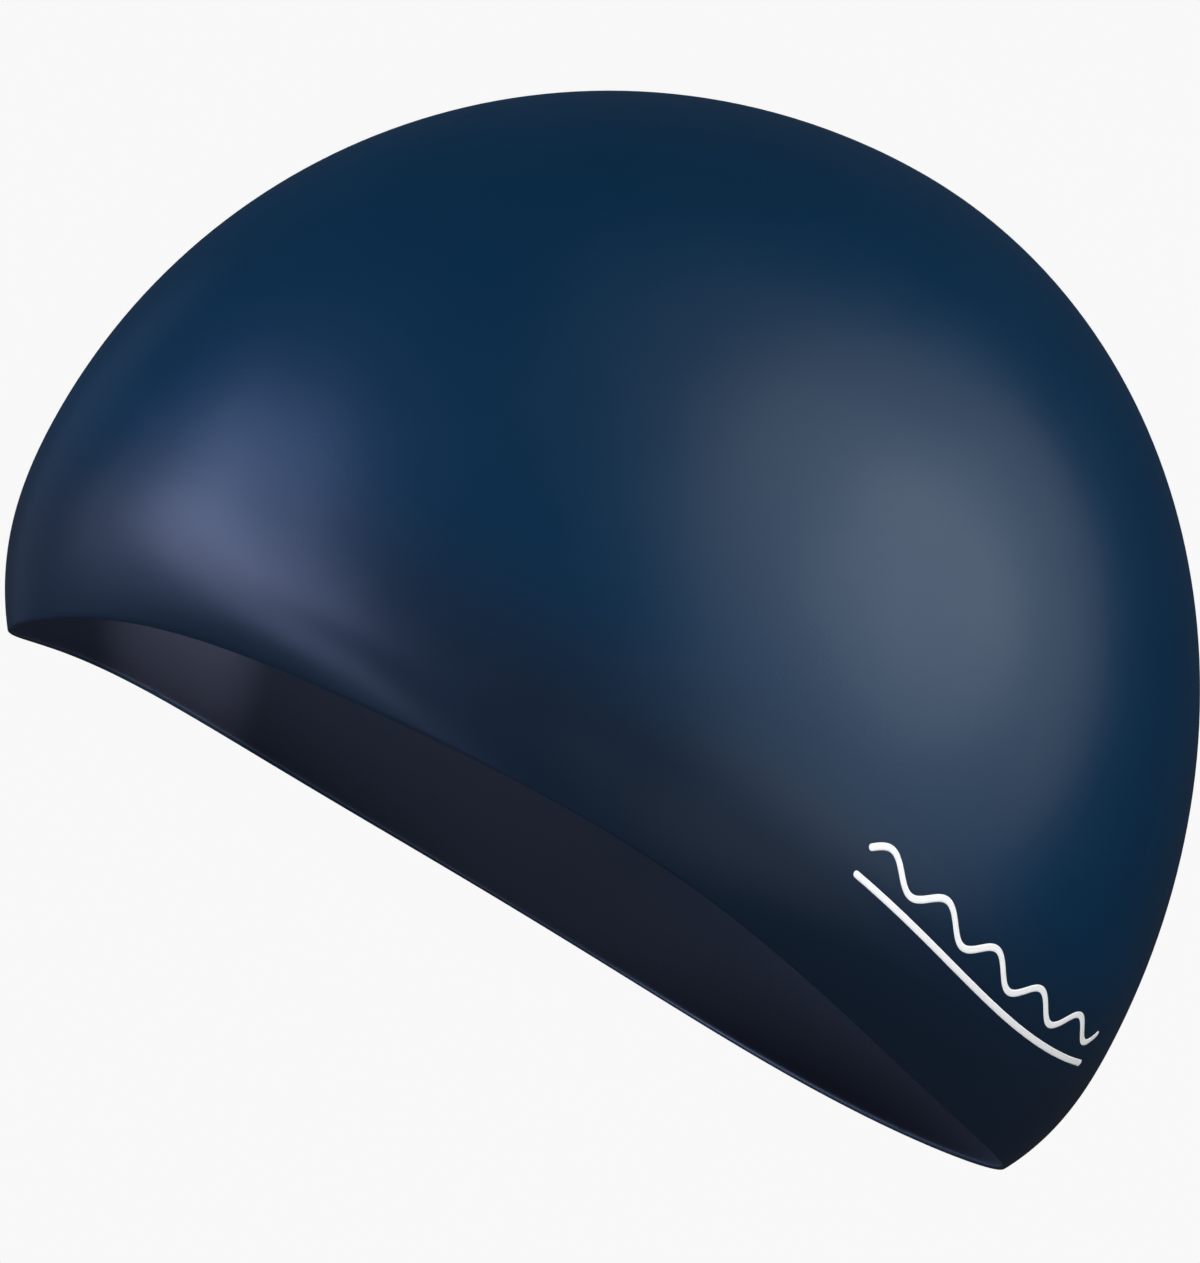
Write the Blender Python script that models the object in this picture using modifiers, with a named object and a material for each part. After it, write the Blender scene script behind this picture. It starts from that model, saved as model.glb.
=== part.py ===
"""Moulded silicone swim cap, one seamless skin in the shape it has on a head.

Metres, +Z up. The wearer faces -X, the nape is toward +X and the wearer's left side toward -Y.
The origin is the highest point of the inner face, where the crown of the head touches the skin.

The skin is described with its rim level first: x runs from the rim's middle at the forehead to its
middle at the nape, y to the wearer's right and z to the crown. The finished cap is then tipped back.
"""
import math

import bmesh
import bpy
import numpy as np
from mathutils import Vector

# Rim, measured on the outer face: from forehead to nape, across, and its lift over the ears
RIM_LENGTH = 0.1865
RIM_WIDTH = 0.142
SIDE_ARCH = 0.0085

# Crown: height above the rim, and distance behind the rim's middle at the forehead
CROWN_HEIGHT = 0.1395
CROWN_PLACE = 0.095

# Widest line: width, height above the rim, and how far it stands out beyond the rim
CAP_WIDTH = 0.152
FOREHEAD_WIDEST = 0.034
NAPE_WIDEST = 0.026
FOREHEAD_BULGE = 0.010
NAPE_BULGE = 0.006

# Skin thickness, and the rounding of its cut edge
SKIN = 0.001
EDGE_ROUND = 0.0004

# Tilt of the worn cap, nape down
TIP_BACK = math.radians(28.0)

# Course of the rim, in even steps from the nape round one side to the forehead.
# fullness: width as a share of an oval's width there; arch: lift as a share of SIDE_ARCH.
RIM_STATIONS = (
    {"place": "nape", "fullness": 0.56, "arch": 0.00},
    {"place": "beside the nape", "fullness": 0.68, "arch": 0.05},
    {"place": "behind the ear", "fullness": 0.93, "arch": 0.50},
    {"place": "over the ear", "fullness": 1.00, "arch": 1.00},
    {"place": "temple", "fullness": 0.92, "arch": 1.00},
    {"place": "beside the forehead", "fullness": 0.84, "arch": 0.60},
    {"place": "forehead", "fullness": 0.78, "arch": 0.00},
)

# Mesh steps: all the way round, from the crown to the widest line, and from there to the rim
STEPS_ROUND = 72
STEPS_DOME = 16
STEPS_WALL = 7
EDGE_STEPS = 2
EDGE_ANGLE = math.radians(50.0)

# Colour and gloss of the silicone
SILICONE_COLOUR = "#0F2F49"
SILICONE_ROUGHNESS = 0.38
SILICONE_IOR = 1.41

MERGE = 0.00001
TINY = 0.0001


def clear_scene():
    for old in list(bpy.data.objects):
        bpy.data.objects.remove(old, do_unlink=True)


def linear_colour(code):
    """Linear RGBA of an sRGB colour code such as #0F2F49."""
    channels = [int(code[start:start + 2], 16) / 255 for start in (1, 3, 5)]
    linear = [c / 12.92 if c <= 0.04045 else ((c + 0.055) / 1.055) ** 2.4 for c in channels]
    return (*linear, 1.0)


def silicone_material():
    material = bpy.data.materials.new("silicone")
    material.use_nodes = True
    shader = material.node_tree.nodes["Principled BSDF"]
    shader.inputs["Base Color"].default_value = linear_colour(SILICONE_COLOUR)
    shader.inputs["Roughness"].default_value = SILICONE_ROUGHNESS
    shader.inputs["Metallic"].default_value = 0.0
    shader.inputs["IOR"].default_value = SILICONE_IOR
    return material


def cosine_weights(column):
    """Weights of the cosine series that passes through one column of RIM_STATIONS."""
    count = len(RIM_STATIONS)
    terms = np.arange(count)
    angles = math.pi * terms / (count - 1)
    values = [row[column] for row in RIM_STATIONS]
    return np.linalg.solve(np.cos(np.outer(angles, terms)), values)


RIM_FULLNESS = cosine_weights("fullness")
RIM_ARCH = cosine_weights("arch")


def along_rim(weights, around):
    """Value of a rim column at an angle about the crown: 0 at the nape, pi at the forehead."""
    return float(np.dot(weights, np.cos(around * np.arange(len(weights)))))


def blend(forehead, nape, around):
    """Even passage from a value at the forehead to another at the nape."""
    return forehead + (nape - forehead) * (1 + math.cos(around)) / 2


def rim_point(around):
    return Vector((
        blend(0, RIM_LENGTH, around),
        RIM_WIDTH / 2 * math.sin(around) * along_rim(RIM_FULLNESS, around),
        SIDE_ARCH * along_rim(RIM_ARCH, around),
    ))


def reach(around):
    """Distance of the widest line from the crown's axis, along the cap's length."""
    return blend(CROWN_PLACE + FOREHEAD_BULGE, RIM_LENGTH + NAPE_BULGE - CROWN_PLACE, around)


def section_point(around, height, size):
    """Point of the egg-shaped section at a height, its size given as a share of the widest one."""
    return Vector((
        CROWN_PLACE + size * reach(around) * math.cos(around),
        size * CAP_WIDTH / 2 * math.sin(around),
        height,
    ))


def dome_point(around, share):
    """Outer face from the crown, share 0, to the widest line, share 1, along quarter ellipses."""
    angle = share * math.pi / 2
    widest = blend(FOREHEAD_WIDEST, NAPE_WIDEST, around)
    height = widest + (CROWN_HEIGHT - widest) * math.cos(angle)
    return section_point(around, height, math.sin(angle))


def wall_point(around, share):
    """Outer face from the widest line, share 0, to the rim, share 1.

    The ellipse of the dome goes on downward. What is missing to the rim comes in with the cube of
    the share, so that the curvature stays even across the widest line.
    """
    rim = rim_point(around)
    widest = blend(FOREHEAD_WIDEST, NAPE_WIDEST, around)
    fall = (widest - rim.z) / (CROWN_HEIGHT - widest)
    missing = rim - section_point(around, rim.z, math.sqrt(1 - fall ** 2))
    height = widest + (rim.z - widest) * share
    return section_point(around, height, math.sqrt(1 - (fall * share) ** 2)) + missing * share ** 3


def skin_point(around, ring):
    if ring <= STEPS_DOME:
        return dome_point(around, ring / STEPS_DOME)
    return wall_point(around, (ring - STEPS_DOME) / STEPS_WALL)


def half_skin_mesh():
    """Open outer face on the wearer's right: a quarter of a sphere, each point moved to the skin."""
    rings = STEPS_DOME + STEPS_WALL
    bm = bmesh.new()
    bmesh.ops.create_uvsphere(bm, u_segments=STEPS_ROUND, v_segments=2 * rings, radius=1.0)
    spare = [vert for vert in bm.verts if vert.co.z < -TINY or vert.co.y < -TINY]
    bmesh.ops.delete(bm, geom=spare, context="VERTS")
    for vert in bm.verts:
        around = math.atan2(max(vert.co.y, 0.0), vert.co.x)
        ring = round(rings * math.acos(min(vert.co.z, 1.0)) / (math.pi / 2))
        vert.co = skin_point(around, ring)
        if abs(vert.co.y) < MERGE:
            vert.co.y = 0.0
    mesh = bpy.data.meshes.new("cap_shell")
    bm.to_mesh(mesh)
    bm.free()
    mesh.shade_smooth()
    return mesh


def crown_touch_point():
    """Point of the inner face that is highest once the cap is tipped back, with the rim still level."""
    up = Vector((-math.sin(TIP_BACK), 0, math.cos(TIP_BACK)))
    middle = Vector((CROWN_PLACE, 0, FOREHEAD_WIDEST))
    half_length = reach(math.pi)
    half_height = CROWN_HEIGHT - FOREHEAD_WIDEST
    lift = math.hypot(half_length * up.x, half_height * up.z)
    outer = middle + Vector((half_length ** 2 * up.x, 0, half_height ** 2 * up.z)) / lift
    return outer - up * SKIN


def tipped(point):
    """Where a point lies after the tilt."""
    return Vector((
        point.x * math.cos(TIP_BACK) + point.z * math.sin(TIP_BACK),
        point.y,
        point.z * math.cos(TIP_BACK) - point.x * math.sin(TIP_BACK),
    ))


def cap_shell(collection):
    """The whole cap: half skin mirrored, thickened inward, its cut edge rounded."""
    shell = bpy.data.objects.new("cap_shell", half_skin_mesh())
    shell.rotation_euler = (0, TIP_BACK, 0)
    shell.location = -tipped(crown_touch_point())
    collection.objects.link(shell)
    shell.data.materials.append(silicone_material())

    mirror = shell.modifiers.new("both sides", "MIRROR")
    mirror.use_axis = (False, True, False)
    mirror.merge_threshold = MERGE

    thickness = shell.modifiers.new("skin", "SOLIDIFY")
    thickness.thickness = SKIN
    thickness.offset = -1.0
    thickness.use_even_offset = True
    thickness.use_quality_normals = True

    edge = shell.modifiers.new("cut edge", "BEVEL")
    edge.width = EDGE_ROUND
    edge.segments = EDGE_STEPS
    edge.limit_method = "ANGLE"
    edge.angle_limit = EDGE_ANGLE
    return shell


def build_swim_cap():
    clear_scene()
    collection = bpy.data.collections.new("swim_cap")
    bpy.context.scene.collection.children.link(collection)
    cap_shell(collection)


build_swim_cap()
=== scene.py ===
# %% [markdown]
# # A moulded silicone swim cap
#
# A silicone swim cap is one seamless skin, about a millimetre thick. Liquid rubber is pressed
# between a core and a shell of steel, cured hot, and peeled off the core. Nothing is sewn or glued
# to it, so the whole object is one curved surface, and its look depends on two things only: a clean
# outline and soft, wide reflections. This script builds both, then adds a small printed band.

import math

import bmesh
import bpy
import numpy as np
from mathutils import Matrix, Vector


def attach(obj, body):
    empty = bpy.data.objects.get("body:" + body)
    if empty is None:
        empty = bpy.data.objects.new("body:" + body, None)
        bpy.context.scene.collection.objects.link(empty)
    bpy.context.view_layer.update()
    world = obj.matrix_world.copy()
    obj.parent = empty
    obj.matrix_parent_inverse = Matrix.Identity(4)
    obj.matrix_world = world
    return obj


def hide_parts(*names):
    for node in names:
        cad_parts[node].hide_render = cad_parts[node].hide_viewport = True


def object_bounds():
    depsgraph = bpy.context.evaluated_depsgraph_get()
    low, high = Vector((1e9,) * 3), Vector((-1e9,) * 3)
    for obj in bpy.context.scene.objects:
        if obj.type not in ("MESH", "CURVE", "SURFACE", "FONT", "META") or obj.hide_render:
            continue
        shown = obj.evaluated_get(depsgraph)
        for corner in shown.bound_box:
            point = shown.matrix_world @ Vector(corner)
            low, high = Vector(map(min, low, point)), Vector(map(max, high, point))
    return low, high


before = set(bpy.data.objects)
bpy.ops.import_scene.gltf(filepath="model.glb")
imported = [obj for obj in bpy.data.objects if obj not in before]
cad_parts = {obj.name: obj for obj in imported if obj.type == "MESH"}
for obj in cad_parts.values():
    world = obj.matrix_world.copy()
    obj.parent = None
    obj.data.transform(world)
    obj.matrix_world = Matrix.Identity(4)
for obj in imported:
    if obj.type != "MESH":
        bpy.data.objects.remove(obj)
cad_low, cad_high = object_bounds()
cad_size = cad_high - cad_low
print("CAD box, m:", [round(side, 4) for side in cad_size])

# %% [markdown]
# ## The sizes of the cap
#
# The cap is described with its rim level first, as if it stood on a table: x runs from the forehead
# to the nape, y across, z up to the crown. A table of seven stations says how wide the rim is and
# how far it lifts over the ears. Tipping the cap back, nape down, is one rotation at the very end.
# Keeping the tilt out of the sizes makes each of them something one could measure with a ruler.

# %% Named sizes, in metres
MM = 0.001
RIM_LENGTH = 186.5 * MM
RIM_WIDTH = 142 * MM
SIDE_ARCH = 8.5 * MM
CROWN_HEIGHT = 139.5 * MM
CROWN_PLACE = 95 * MM
CAP_WIDTH = 152 * MM
FOREHEAD_WIDEST = 34 * MM
NAPE_WIDEST = 26 * MM
FOREHEAD_BULGE = 10 * MM
NAPE_BULGE = 6 * MM
SKIN = 1 * MM
EDGE_ROUND = 0.4 * MM
TIP_BACK = math.radians(28)

RIM_STATIONS = (
    {"place": "nape", "fullness": 0.56, "arch": 0.00},
    {"place": "beside the nape", "fullness": 0.68, "arch": 0.05},
    {"place": "behind the ear", "fullness": 0.93, "arch": 0.50},
    {"place": "over the ear", "fullness": 1.00, "arch": 1.00},
    {"place": "temple", "fullness": 0.92, "arch": 1.00},
    {"place": "beside the forehead", "fullness": 0.84, "arch": 0.60},
    {"place": "forehead", "fullness": 0.78, "arch": 0.00},
)
print("rim stations:", len(RIM_STATIONS))

# %% [markdown]
# ## A smooth course through a few stations
#
# Seven rows can't be joined by straight lines, because the light would show every corner. A sum of
# cosines that passes through all rows is smooth everywhere, and it is flat where it crosses the
# middle plane, so the left and right halves meet without a crease.

# %% The rim's curve


def cosine_weights(column):
    """Weights of the cosine series that passes through one column of RIM_STATIONS."""
    terms = np.arange(len(RIM_STATIONS))
    angles = math.pi * terms / (len(RIM_STATIONS) - 1)
    return np.linalg.solve(np.cos(np.outer(angles, terms)), [row[column] for row in RIM_STATIONS])


RIM_FULLNESS = cosine_weights("fullness")
RIM_ARCH = cosine_weights("arch")


def along_rim(weights, around):
    """Value of a column at an angle about the crown: 0 at the nape, pi at the forehead."""
    return float(np.dot(weights, np.cos(around * np.arange(len(weights)))))


def blend(forehead, nape, around):
    """Even passage from a value at the forehead to another at the nape."""
    return forehead + (nape - forehead) * (1 + math.cos(around)) / 2


def rim_point(around):
    """Point of the rim on the outer face, with the rim level."""
    half_width = RIM_WIDTH / 2 * math.sin(around) * along_rim(RIM_FULLNESS, around)
    lift = SIDE_ARCH * along_rim(RIM_ARCH, around)
    return Vector((blend(0, RIM_LENGTH, around), half_width, lift))


print("rim over the ear, mm:", [round(v / MM, 1) for v in rim_point(math.pi / 2)])

# %% [markdown]
# ## Dome and wall
#
# From the crown to the widest line the skin is stretched tight over the head, so each section is a
# quarter of an ellipse. Below that line the elastic wall draws in again toward the rim. The ellipse
# simply goes on, and what is missing to the rim comes in with the cube of the way down. A cube
# starts so gently that no line shows where the two meet.

# %% Points of the outer face


def section_point(around, height, size):
    """Point of the egg-shaped section at a height, its size as a share of the widest one."""
    reach = blend(CROWN_PLACE + FOREHEAD_BULGE, RIM_LENGTH + NAPE_BULGE - CROWN_PLACE, around)
    across = size * CAP_WIDTH / 2 * math.sin(around)
    return Vector((CROWN_PLACE + size * reach * math.cos(around), across, height))


def dome_point(around, share):
    """Outer face from the crown, share 0, to the widest line, share 1."""
    angle = share * math.pi / 2
    widest = blend(FOREHEAD_WIDEST, NAPE_WIDEST, around)
    height = widest + (CROWN_HEIGHT - widest) * math.cos(angle)
    return section_point(around, height, math.sin(angle))


def wall_point(around, share):
    """Outer face from the widest line, share 0, to the rim, share 1."""
    rim = rim_point(around)
    widest = blend(FOREHEAD_WIDEST, NAPE_WIDEST, around)
    fall = (widest - rim.z) / (CROWN_HEIGHT - widest)
    missing = rim - section_point(around, rim.z, math.sqrt(1 - fall ** 2))
    height = widest + (rim.z - widest) * share
    return section_point(around, height, math.sqrt(1 - (fall * share) ** 2)) + missing * share ** 3


def tipped(point):
    """Where a point lies once the cap is tipped back."""
    ahead = point.x * math.cos(TIP_BACK) + point.z * math.sin(TIP_BACK)
    return Vector((ahead, point.y, point.z * math.cos(TIP_BACK) - point.x * math.sin(TIP_BACK)))


def crown_touch_point():
    """Highest point of the inner face after the tilt, given with the rim still level."""
    up = Vector((-math.sin(TIP_BACK), 0, math.cos(TIP_BACK)))
    half_length = CROWN_PLACE + FOREHEAD_BULGE
    half_height = CROWN_HEIGHT - FOREHEAD_WIDEST
    lift = math.hypot(half_length * up.x, half_height * up.z)
    outer = Vector((CROWN_PLACE, 0, FOREHEAD_WIDEST))
    outer += Vector((half_length ** 2 * up.x, 0, half_height ** 2 * up.z)) / lift
    return outer - up * SKIN


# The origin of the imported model, and about the middle of the cap, where camera and lamps aim
HEAD_TOUCHES = tipped(crown_touch_point())
CAP_MIDDLE = Vector((0, 0, -85)) * MM


def in_place(point):
    """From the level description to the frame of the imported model."""
    return tipped(point) - HEAD_TOUCHES


print("crown, mm:", [round(v / MM, 1) for v in in_place(dome_point(0, 0))])

# %% [markdown]
# ## The skin's mesh
#
# A UV sphere already has the right layout for a cap: rings round the crown and lines running down
# to the rim. Its lower half is deleted and every vertex of the upper half is moved to its place on
# the skin. The Solidify modifier then gives the real wall of one millimetre, and a Bevel rounds the
# cut edge. The mesh is four times as fine as the CAD solid, because a wide, soft reflection shows
# facets that a plain outline would hide.

# %% Build the skin
STEPS_ROUND = 288
STEPS_DOME = 64
STEPS_WALL = 28
RINGS = STEPS_DOME + STEPS_WALL
EDGE_STEPS = 3
EDGE_ANGLE = math.radians(50)
ABOVE_RIM = "above_rim"

# Just under the middle of the sphere, whose radius is 1
LOWER_HALF = -0.0001


def untipped(point):
    """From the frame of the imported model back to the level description."""
    place = point + HEAD_TOUCHES
    back = place.x * math.cos(TIP_BACK) - place.z * math.sin(TIP_BACK)
    return Vector((back, place.y, place.z * math.cos(TIP_BACK) + place.x * math.sin(TIP_BACK)))


def rim_height(place):
    """Height of the rim below a place, with the rim level."""
    return rim_point(math.atan2(place.y, place.x - CROWN_PLACE)).z


def skin_point(around, ring):
    """Point of the outer face on a ring, counted from the crown down to the rim."""
    if ring <= STEPS_DOME:
        return in_place(dome_point(around, ring / STEPS_DOME))
    return in_place(wall_point(around, (ring - STEPS_DOME) / STEPS_WALL))


def skin_mesh():
    """The outer face: the upper half of a sphere, each point moved to its place on the skin."""
    bm = bmesh.new()
    bmesh.ops.create_uvsphere(bm, u_segments=STEPS_ROUND, v_segments=2 * RINGS, radius=1.0)
    lower = [vert for vert in bm.verts if vert.co.z < LOWER_HALF]
    bmesh.ops.delete(bm, geom=lower, context="VERTS")
    for vert in bm.verts:
        around = math.atan2(vert.co.y, vert.co.x)
        ring = round(RINGS * math.acos(min(vert.co.z, 1.0)) / (math.pi / 2))
        vert.co = skin_point(around, ring)
    mesh = bpy.data.meshes.new("silicone_skin")
    bm.to_mesh(mesh)
    bm.free()
    mesh.shade_smooth()
    return mesh


def note_rim_distance(mesh):
    """Keep how far each point lies above the rim, as an attribute that the material can read."""
    levels = mesh.attributes.new(ABOVE_RIM, "FLOAT", "POINT")
    for vert, level in zip(mesh.vertices, levels.data):
        place = untipped(vert.co)
        level.value = place.z - rim_height(place)


skin = bpy.data.objects.new("silicone_skin", skin_mesh())
note_rim_distance(skin.data)
bpy.context.scene.collection.objects.link(skin)

wall = skin.modifiers.new("one millimetre of silicone", "SOLIDIFY")
wall.thickness = SKIN
wall.offset = -1
wall.use_even_offset = True
wall.use_quality_normals = True

# The inner face takes the second material, and the cut edge stays with the first
wall.material_offset = 1
wall.material_offset_rim = 0

edge = skin.modifiers.new("rounded cut edge", "BEVEL")
edge.width = EDGE_ROUND
edge.segments = EDGE_STEPS
edge.limit_method = "ANGLE"
edge.angle_limit = EDGE_ANGLE

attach(skin, "root")
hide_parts("cap_shell")
print("skin:", len(skin.data.vertices), "points on the outer face")

# %% [markdown]
# ## Colours and nodes
#
# Colours are noted the way a picture editor shows them, as sRGB codes, and turned into the linear
# values that a renderer counts with. One helper adds a node, sets it up and links it, so that each
# material below reads as a short list. Another does the same for a noise of a given real size: the
# Scale of a noise texture is how many of its features fit into a metre.

# %% Helpers for materials


def linear(code):
    """Linear RGBA of an sRGB colour code, by the formula of the sRGB standard."""
    channels = [int(code[start:start + 2], 16) / 255 for start in (1, 3, 5)]
    decoded = [c / 12.92 if c <= 0.04045 else ((c + 0.055) / 1.055) ** 2.4 for c in channels]
    return (*decoded, 1.0)


def grey(level):
    """Linear RGBA of a grey that is noted as a linear value."""
    return (level, level, level, 1.0)


def add_node(tree, kind, values=None, links=None, **settings):
    """Add a node. values go on its sockets, links join (node, output) to its inputs."""
    node = tree.nodes.new(kind)
    for name, value in settings.items():
        setattr(node, name, value)
    for socket, value in (values or {}).items():
        node.inputs[socket].default_value = value
    for socket, (source, output) in (links or {}).items():
        tree.links.new(source.outputs[output], node.inputs[socket])
    return node


def new_material(name):
    """An empty material and its node tree, with only the output left in it."""
    material = bpy.data.materials.new(name)
    material.use_nodes = True
    tree = material.node_tree
    tree.nodes.clear()
    return material, tree, add_node(tree, "ShaderNodeOutputMaterial")


def noise(tree, place, size, detail):
    """A noise whose features are about that big. detail is how many finer layers it has."""
    return add_node(tree, "ShaderNodeTexNoise", {"Scale": 1 / size, "Detail": detail},
                    {"Vector": (place, "Object")})


print("white in linear values:", linear("#FFFFFF")[:3])

# %% [markdown]
# ## Moulded silicone, outer face
#
# The steel shell of the mould is blasted with fine beads, so the rubber comes out satin: it never
# mirrors the lamps, it blurs them into wide pools. Silicone has an index of refraction of 1.41,
# and this finish a roughness near 0.3. Three noises of different size keep the face alive. The
# pigment drifts over a few centimetres. A hand has wiped the gloss a little up or down every two.
# The beads leave a grain of about 0.1 mm, too fine for a render, so it is drawn at 0.5 mm and low.
#
# Toward the rim the petrol blue is painted down into a dull navy within three centimetres, a
# painted shade along the lower wall. The wall here is even all over. The height above the rim, kept
# with the mesh as an attribute, tells the material where to paint this shade.

# %% Satin outer face
SILICONE_IOR = 1.41
PIGMENT_CLOUD = 45 * MM
CLOUD_DETAIL = 2.0
WIPE_MARK = 18 * MM
WIPE_DETAIL = 3.0
GRAIN = 0.5 * MM
GRAIN_DETAIL = 1.0

# Most values of the wiping noise lie in this range, and move the roughness up or down by the drift
WIPE_RANGE = (0.3, 0.7)
ROUGHNESS_DRIFT = 0.025

# Heights above the rim for the painted shade: all navy below the first, all petrol above the second
RIM_SHADE_BAND = (10 * MM, 38 * MM)


def silicone(name, deep, pale, rim, roughness, grain_height):
    """Pigmented silicone: its colour drifts from deep to pale, and near the rim it turns into the
    rim colour, a painted shade.
    """
    material, tree, output = new_material(name)
    place = add_node(tree, "ShaderNodeTexCoord")
    cloud = noise(tree, place, PIGMENT_CLOUD, CLOUD_DETAIL)
    wiped = noise(tree, place, WIPE_MARK, WIPE_DETAIL)
    grain = noise(tree, place, GRAIN, GRAIN_DETAIL)
    colour = add_node(tree, "ShaderNodeMix", {"A": linear(deep), "B": linear(pale)},
                      {"Factor": (cloud, "Fac")}, data_type="RGBA")
    # Painted shade: below the band the colour is darkened to the rim colour, whatever the light
    level = add_node(tree, "ShaderNodeAttribute", attribute_name=ABOVE_RIM)
    rim_shade_amount = add_node(tree, "ShaderNodeMapRange",
                        {"From Min": RIM_SHADE_BAND[0], "From Max": RIM_SHADE_BAND[1],
                         "To Min": 1.0, "To Max": 0.0},
                        {"Value": (level, "Fac")}, interpolation_type="SMOOTHSTEP")
    colour = add_node(tree, "ShaderNodeMix", {"B": linear(rim)},
                      {"Factor": (rim_shade_amount, "Result"), "A": (colour, "Result")},
                      data_type="RGBA")
    gloss = add_node(tree, "ShaderNodeMapRange",
                     {"From Min": WIPE_RANGE[0], "From Max": WIPE_RANGE[1],
                      "To Min": roughness - ROUGHNESS_DRIFT,
                      "To Max": roughness + ROUGHNESS_DRIFT},
                     {"Value": (wiped, "Fac")})
    relief = add_node(tree, "ShaderNodeBump", {"Distance": grain_height, "Strength": 1.0},
                      {"Height": (grain, "Fac")})
    shader = add_node(tree, "ShaderNodeBsdfPrincipled", {"IOR": SILICONE_IOR},
                      {"Base Color": (colour, "Result"), "Roughness": (gloss, "Result"),
                       "Normal": (relief, "Normal")})
    tree.links.new(shader.outputs["BSDF"], output.inputs["Surface"])
    return material


# Outside: hardly any red at all, which gives the deep petrol blue between the pools of light. The
# rim colour is a painted shade along the lower wall.
outer = silicone("moulded silicone, satin outer face",
                 deep="#03253F", pale="#072842", rim="#121F30",
                 roughness=0.31, grain_height=0.01 * MM)
# Inside: the core of the mould is left rougher, and a trace of talc greys the blue. Beyond that,
# the inside is painted paler than the outside, painted light for the dim hollow, and its rim colour
# is a painted shade.
inner = silicone("moulded silicone, dull inner face",
                 deep="#2A3247", pale="#30394E", rim="#2B3141",
                 roughness=0.45, grain_height=0.02 * MM)
skin.data.materials.append(outer)
skin.data.materials.append(inner)
print("materials on the skin:", [m.name for m in skin.data.materials])

# %% [markdown]
# ## The print
#
# Caps are decorated by screen printing: a silicone ink is pushed through a mesh onto the flat cap
# and cured, which leaves a film of about 0.06 mm that stretches with the rubber. The band here is a
# plain wave over a plain line. Both are drawn flat, in millimetres along the band and up from the
# rim, and every point is then looked up on the skin, so the film follows its double curve exactly.

# %% A place on the skin for every place in the drawing
# Angles about the crown: 0 is the nape and minus is the wearer's left. The spare is for round ends.
BAND_FROM = math.radians(-65)
BAND_TO = math.radians(-19)
BAND_SPARE = math.radians(2)

# Distances along the band are measured at this height above the rim, in so many steps
BAND_CLIMB = 24 * MM
BAND_STEPS = 50


def up_the_skin(around, climb):
    """Point of the outer face at a distance above the rim, measured along the skin."""
    lower = skin_point(around, RINGS)
    for ring in range(RINGS - 1, 0, -1):
        upper = skin_point(around, ring)
        step = (upper - lower).length
        if step >= climb:
            return lower.lerp(upper, climb / step)
        climb -= step
        lower = upper
    return lower


band_angles = np.linspace(BAND_FROM - BAND_SPARE, BAND_TO + BAND_SPARE, BAND_STEPS)
band_points = [up_the_skin(around, BAND_CLIMB) for around in band_angles]
band_steps = [(b - a).length for a, b in zip(band_points, band_points[1:])]
band_marks = np.concatenate([[0], np.cumsum(band_steps)])
band_marks -= np.interp(BAND_FROM, band_angles, band_marks)
BAND_LENGTH = float(np.interp(BAND_TO, band_angles, band_marks))


def on_band(along, climb):
    """Point of the outer face for a place in the flat drawing."""
    around = float(np.interp(along, band_marks, band_angles))
    return up_the_skin(around, climb)


print("band length, mm:", round(BAND_LENGTH / MM, 1))

# %% [markdown]
# ## Strokes that follow the skin
#
# Each stroke is a flat ribbon with round ends: a grid whose rows lie across the course of the line.
# A curve could be shrink-wrapped onto the cap instead, but a projection along one direction smears
# it where the skin turns away. Looking up every point keeps the width even, as ink that was printed
# on the flat rubber would be. Solidify then gives the film its thickness. A quarter of it stands
# out of the skin, less than real ink does, and the rest is sunk in, so that no gap can open below.

# %% Strokes of ink
STROKE = 1.15 * MM
FILM_ABOVE = 0.02 * MM
FILM_SUNK = 0.06 * MM
WAVES = 5
WAVE_HEIGHT = 1.9 * MM

# Heights above the rim at the two ends of the band, the end by the ear first
WAVE_CLIMB = (24.0 * MM, 28.0 * MM)
LINE_CLIMB = (19.0 * MM, 22.5 * MM)

# Rows along a stroke and in each of its round ends, faces across it, and the half of the short
# stretch from which its direction is read
STEPS_STROKE = 320
STEPS_END = 6
STEPS_ACROSS = 4
COURSE_STEP = STROKE / 10


def wave_height(along):
    """Height of the wave above the rim at a place along the band."""
    share = along / BAND_LENGTH
    middle = WAVE_CLIMB[0] + (WAVE_CLIMB[1] - WAVE_CLIMB[0]) * share
    return middle + WAVE_HEIGHT * math.sin(2 * math.pi * WAVES * share)


def line_height(along):
    """Height of the line above the rim at a place along the band."""
    share = along / BAND_LENGTH
    return LINE_CLIMB[0] + (LINE_CLIMB[1] - LINE_CLIMB[0]) * share


def stroke_rows(height):
    """Middle point, direction along and half width of each row of a stroke with round ends."""
    rows = []
    for along in np.linspace(0, BAND_LENGTH, STEPS_STROKE):
        climb = height(along + COURSE_STEP) - height(along - COURSE_STEP)
        course = Vector((2 * COURSE_STEP, climb)).normalized()
        rows.append((Vector((along, height(along))), course, STROKE / 2))
    for end, sign in ((0, -1), (-1, 1)):
        middle, course, half = rows[end]
        turns = [math.pi / 2 * step / STEPS_END for step in range(1, STEPS_END)]
        round_end = [(middle + sign * half * math.sin(turn) * course, course,
                      half * math.cos(turn)) for turn in turns]
        rows = round_end[::-1] + rows if sign < 0 else rows + round_end
    return rows


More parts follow.
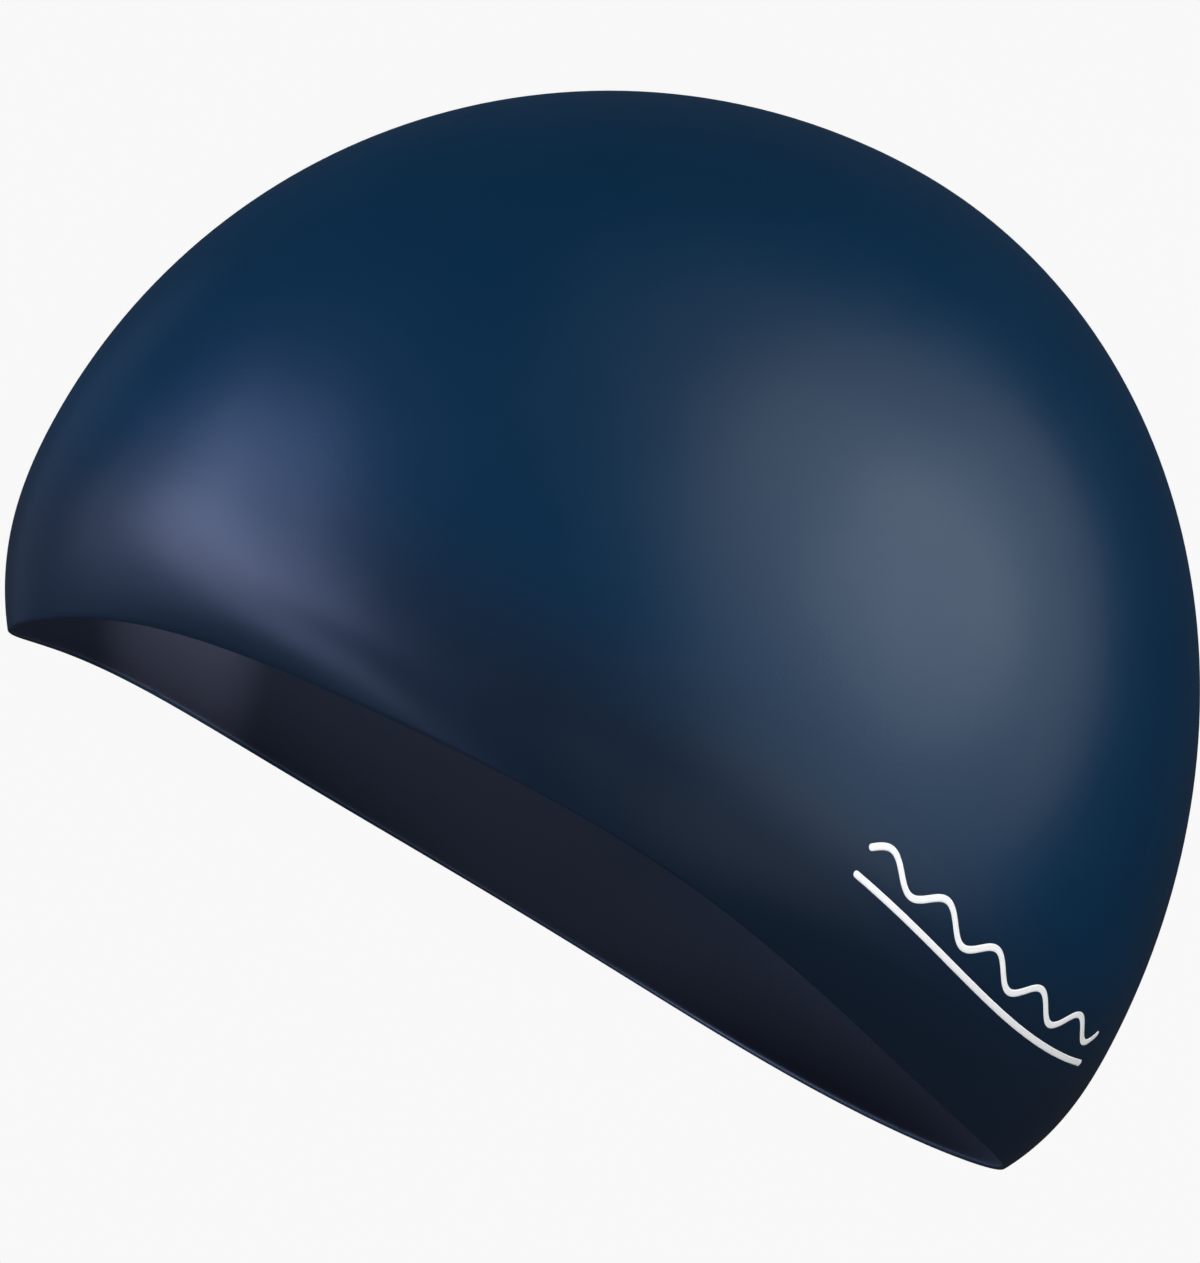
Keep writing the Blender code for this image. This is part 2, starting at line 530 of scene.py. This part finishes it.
def ink_stroke(name, height):
    """A ribbon of ink on the skin along a course that is given as a height above the rim."""
    rows = stroke_rows(height)
    bm = bmesh.new()
    bmesh.ops.create_grid(bm, x_segments=len(rows) - 1, y_segments=STEPS_ACROSS, size=1.0)
    for vert in bm.verts:
        row = round((vert.co.x + 1) / 2 * (len(rows) - 1))
        middle, course, half = rows[row]
        across = Vector((-course.y, course.x))
        vert.co = on_band(*(middle + across * half * vert.co.y))
    mesh = bpy.data.meshes.new(name)
    bm.to_mesh(mesh)
    bm.free()
    mesh.shade_smooth()
    stroke = bpy.data.objects.new(name, mesh)
    bpy.context.scene.collection.objects.link(stroke)
    film = stroke.modifiers.new("ink film", "SOLIDIFY")
    film.thickness = FILM_ABOVE + FILM_SUNK
    film.offset = (FILM_ABOVE - FILM_SUNK) / (FILM_ABOVE + FILM_SUNK)
    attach(stroke, "root")
    return stroke


printed = [ink_stroke("printed_wave", wave_height), ink_stroke("printed_line", line_height)]
print("strokes:", [(o.name, len(o.data.vertices)) for o in printed])

# %% [markdown]
# ## Screen ink
#
# Cured silicone ink is an opaque white with a soft, chalky gloss: index of refraction 1.43,
# roughness 0.5. The mesh it was pushed through has about 60 threads to the centimetre, one every
# 0.17 mm. That is finer than a render can show, so the marks are drawn at 0.4 mm. Where the marks
# sink, the white is painted a little darker and bluish, a painted shade, and on top it is a little
# warm. This keeps the print from looking like a flat decal.

# %% White ink
INK_IOR = 1.43
INK_ROUGHNESS = 0.5
MESH_MARK = 0.4 * MM
MESH_DETAIL = 2.0
MESH_RELIEF = 0.01 * MM

ink, tree, output = new_material("white silicone screen ink")
place = add_node(tree, "ShaderNodeTexCoord")
mesh_marks_and_shade = noise(tree, place, MESH_MARK, MESH_DETAIL)
# The darker bluish white goes where the mesh marks sink: painted shade in their hollows
colour = add_node(tree, "ShaderNodeMix", {"A": linear("#E6E8EC"), "B": linear("#F4F4F2")},
                  {"Factor": (mesh_marks_and_shade, "Fac")}, data_type="RGBA")
relief = add_node(tree, "ShaderNodeBump", {"Distance": MESH_RELIEF, "Strength": 1.0},
                  {"Height": (mesh_marks_and_shade, "Fac")})
shader = add_node(tree, "ShaderNodeBsdfPrincipled", {"IOR": INK_IOR, "Roughness": INK_ROUGHNESS},
                  {"Base Color": (colour, "Result"), "Normal": (relief, "Normal")})
tree.links.new(shader.outputs["BSDF"], output.inputs["Surface"])
for stroke in printed:
    stroke.data.materials.append(ink)
print("ink on:", [o.name for o in printed])

# %% [markdown]
# ## The studio
#
# The camera stands two metres away on the cap's left and a little below it, with a long lens, as a
# catalogue picture is taken: from so far away the near rim looks hardly bigger than the far one.
# Its angles and its aim were fitted until the outline of the render lay on that of the picture.

# %% Camera
VIEW_AZIMUTH = math.radians(-6.45)
VIEW_ELEVATION = math.radians(-6.23)
VIEW_DISTANCE = 2.0
AIM_RIGHT = -2.4 * MM
AIM_UP = -3.7 * MM

# In millimetres, on Blender's usual sensor, which is 36 mm wide
FOCAL_LENGTH = 345


def direction(azimuth, elevation):
    """Unit vector toward an azimuth, 0 being the wearer's left side, and an elevation."""
    level = math.cos(elevation)
    return Vector((math.sin(azimuth) * level, -math.cos(azimuth) * level, math.sin(elevation)))


toward_camera = direction(VIEW_AZIMUTH, VIEW_ELEVATION)
sideways = Vector((math.cos(VIEW_AZIMUTH), math.sin(VIEW_AZIMUTH), 0))
upward = sideways.cross(-toward_camera)
camera = bpy.data.objects.new("camera", bpy.data.cameras.new("camera"))
bpy.context.scene.collection.objects.link(camera)
aim = CAP_MIDDLE + sideways * AIM_RIGHT + upward * AIM_UP
camera.location = aim + toward_camera * VIEW_DISTANCE
camera.rotation_euler = (-toward_camera).to_track_quat("-Z", "Y").to_euler()
camera.data.lens = FOCAL_LENGTH
bpy.context.scene.camera = camera
print("camera at, m:", [round(v, 3) for v in camera.location])

# %% [markdown]
# ## Lamps for the gloss and lamps for the colour
#
# A glossy dark object shows its lamps twice: as reflections, and as the light that brings out its
# colour. Here each job has lamps of its own. Soft boxes make only reflections, and scrims light
# only the colour, so a pool can be shaped without changing the blue around it. Blender does this
# with the ray visibility of a lamp. A soft box stands where the skin mirrors it toward the camera,
# which one finds by reflecting the line of sight at the middle of the pool. One even box would end
# in a visible edge, so a pool is made of a few that overlap, brightest where they all do.

# %% Soft boxes and scrims

# Angles in degrees as seen from the middle of the cap, distance and size in metres
LAMPS = (
    {"name": "tall_box_by_the_forehead", "azimuth": -76, "elevation": 4, "away": 1.2,
     "size": (0.5, 2.2), "brightness": 2.8, "tint": "#BBCAFF", "job": "gloss"},
    {"name": "bright_middle_of_the_tall_box", "azimuth": -73, "elevation": 8, "away": 1.1,
     "size": (0.41, 1.0), "brightness": 1.1, "tint": "#D8E0FF", "job": "gloss"},
    {"name": "near_side_of_the_tall_box", "azimuth": -58, "elevation": 15, "away": 1.2,
     "size": (0.6, 1.3), "brightness": 3.2, "tint": "#BBCAFF", "job": "gloss"},
    {"name": "far_side_of_the_tall_box", "azimuth": -95, "elevation": 5, "away": 1.2,
     "size": (0.7, 1.6), "brightness": 0.6, "tint": "#BBCAFF", "job": "gloss"},
    {"name": "wide_box_by_the_nape", "azimuth": 50, "elevation": 16, "away": 1.3,
     "size": (2.05, 1.85), "brightness": 0.88, "tint": "#F3F9FF", "job": "gloss"},
    {"name": "bright_middle_of_the_wide_box", "azimuth": 50, "elevation": 16, "away": 1.2,
     "size": (0.8, 0.75), "brightness": 1.9, "tint": "#F3F9FF", "job": "gloss"},
    {"name": "near_side_of_the_wide_box", "azimuth": 32, "elevation": 26, "away": 1.2,
     "size": (0.8, 0.8), "brightness": 0.4, "tint": "#F3F9FF", "job": "gloss"},
    {"name": "far_side_of_the_wide_box", "azimuth": 75, "elevation": 14, "away": 1.2,
     "size": (0.8, 1.0), "brightness": 0.3, "tint": "#F3F9FF", "job": "gloss"},
    {"name": "strip_behind_the_forehead", "azimuth": -135, "elevation": 17, "away": 1.2,
     "size": (0.6, 1.2), "brightness": 0.14, "tint": "#B4CCFF", "job": "gloss"},
    {"name": "forehead_scrim", "azimuth": -95, "elevation": 12, "away": 1.8,
     "size": (1.0, 1.0), "brightness": 11.0, "tint": "#FFFFFF", "job": "colour"},
    {"name": "low_scrim", "azimuth": 15, "elevation": -30, "away": 1.8,
     "size": (1.6, 1.0), "brightness": 5.0, "tint": "#FFFFFF", "job": "colour"},
    {"name": "high_scrim", "azimuth": 30, "elevation": 45, "away": 1.8,
     "size": (1.2, 1.2), "brightness": 6.0, "tint": "#FFFFFF", "job": "colour"},
    {"name": "far_scrim", "azimuth": 165, "elevation": 35, "away": 1.8,
     "size": (1.6, 1.6), "brightness": 3.4, "tint": "#FFFFFF", "job": "colour"},
)


def hang(name, lamp, target, outward, away):
    """Hang a lamp at a distance from a point, facing it."""
    lamp_object = bpy.data.objects.new(name, lamp)
    bpy.context.scene.collection.objects.link(lamp_object)
    lamp_object.location = target + outward * away
    lamp_object.rotation_euler = (-outward).to_track_quat("-Z", "Y").to_euler()
    return lamp_object


def studio_lamp(name, azimuth, elevation, away, size, brightness, tint, job):
    """An oval lamp facing the cap. Its power grows with its face, so brightness means the same."""
    lamp = bpy.data.lights.new(name, "AREA")
    lamp.shape = "ELLIPSE"
    lamp.size, lamp.size_y = size
    lamp.color = linear(tint)[:3]
    lamp.energy = brightness * math.pi * size[0] * size[1]
    outward = direction(math.radians(azimuth), math.radians(elevation))
    lamp_object = hang(name, lamp, CAP_MIDDLE, outward, away)
    lamp_object.visible_diffuse = job == "colour"
    lamp_object.visible_glossy = job == "gloss"
    return lamp_object


lamps = [studio_lamp(**lamp) for lamp in LAMPS]
print("lamps:", [o.name for o in lamps])

# %% [markdown]
# ## A light that reaches inside
#
# Seen from a little below, a hollow dark object easily turns into a black hole. One narrow spot
# comes from low in front, slips under the near rim and lands on the inner face by the forehead. Its
# edge is fully blended, so the patch fades out into the shade of the hollow.

# %% Spot into the hollow
INNER_PATCH = Vector((-68, 51, -88)) * MM
SPOT_FROM = direction(math.radians(15), math.radians(-28))
SPOT_AWAY = 1.2
SPOT_WATTS = 75
SPOT_ANGLE = math.radians(2)
SPOT_BLEND = 1.0
SPOT_TINT = "#FFECE0"

spot = bpy.data.lights.new("spot_into_the_hollow", "SPOT")
spot.energy = SPOT_WATTS
spot.spot_size = SPOT_ANGLE
spot.spot_blend = SPOT_BLEND
spot.color = linear(SPOT_TINT)[:3]
hang("spot_into_the_hollow", spot, INNER_PATCH, SPOT_FROM, SPOT_AWAY).visible_glossy = False
print("spot width on the inner face, mm:", round(2 * SPOT_AWAY * math.tan(SPOT_ANGLE / 2) / MM))

# %% [markdown]
# ## Floor and backdrop
#
# The cap is held where a standing wearer has it, so the floor lies 1.75 m below and shows only in
# views from above. It glows by itself and its grey paint returns little of the scrims' light, which
# are hung for the cap and would leave it patchy. So it is as pale as the backdrop and no horizon
# shows. A Light Path node gives the camera a pale backdrop while the reflections see a dim room: a
# white room all round would wash out the dark rubber.

# %% Floor and backdrop
FLOOR_BELOW = 1.75
FLOOR_RADIUS = 20
FLOOR_SIDES = 96
FLOOR_PAINT = "#606060"
FLOOR_ROUGHNESS = 0.9
FLOOR_GLOW = 0.92
BACKDROP_GREY = 0.94
ROOM_GREY = 0.03

floor_mesh = bpy.data.meshes.new("floor")
bm = bmesh.new()
bmesh.ops.create_circle(bm, cap_ends=True, segments=FLOOR_SIDES, radius=FLOOR_RADIUS)
bm.to_mesh(floor_mesh)
bm.free()
floor = bpy.data.objects.new("floor", floor_mesh)
floor.location.z = -FLOOR_BELOW
bpy.context.scene.collection.objects.link(floor)
paint, tree, output = new_material("matt floor paint")
shader = add_node(tree, "ShaderNodeBsdfPrincipled",
                  {"Base Color": linear(FLOOR_PAINT), "Roughness": FLOOR_ROUGHNESS,
                   "Emission Color": linear("#FFFFFF"), "Emission Strength": FLOOR_GLOW})
tree.links.new(shader.outputs["BSDF"], output.inputs["Surface"])
floor_mesh.materials.append(paint)
floor.visible_glossy = False
floor.visible_diffuse = False

world = bpy.data.worlds.new("white backdrop, dim room")
world.use_nodes = True
bpy.context.scene.world = world
tree = world.node_tree
tree.nodes.clear()
output = add_node(tree, "ShaderNodeOutputWorld")
room = add_node(tree, "ShaderNodeBackground", {"Color": grey(ROOM_GREY)})
backdrop = add_node(tree, "ShaderNodeBackground", {"Color": grey(BACKDROP_GREY)})
ray = add_node(tree, "ShaderNodeLightPath")
shown = add_node(tree, "ShaderNodeMixShader", None,
                 {0: (ray, "Is Camera Ray"), 1: (room, "Background"), 2: (backdrop, "Background")})
tree.links.new(shown.outputs["Shader"], output.inputs["Surface"])
bpy.context.scene.view_settings.view_transform = "Standard"
print("floor is", FLOOR_BELOW, "m below the crown")
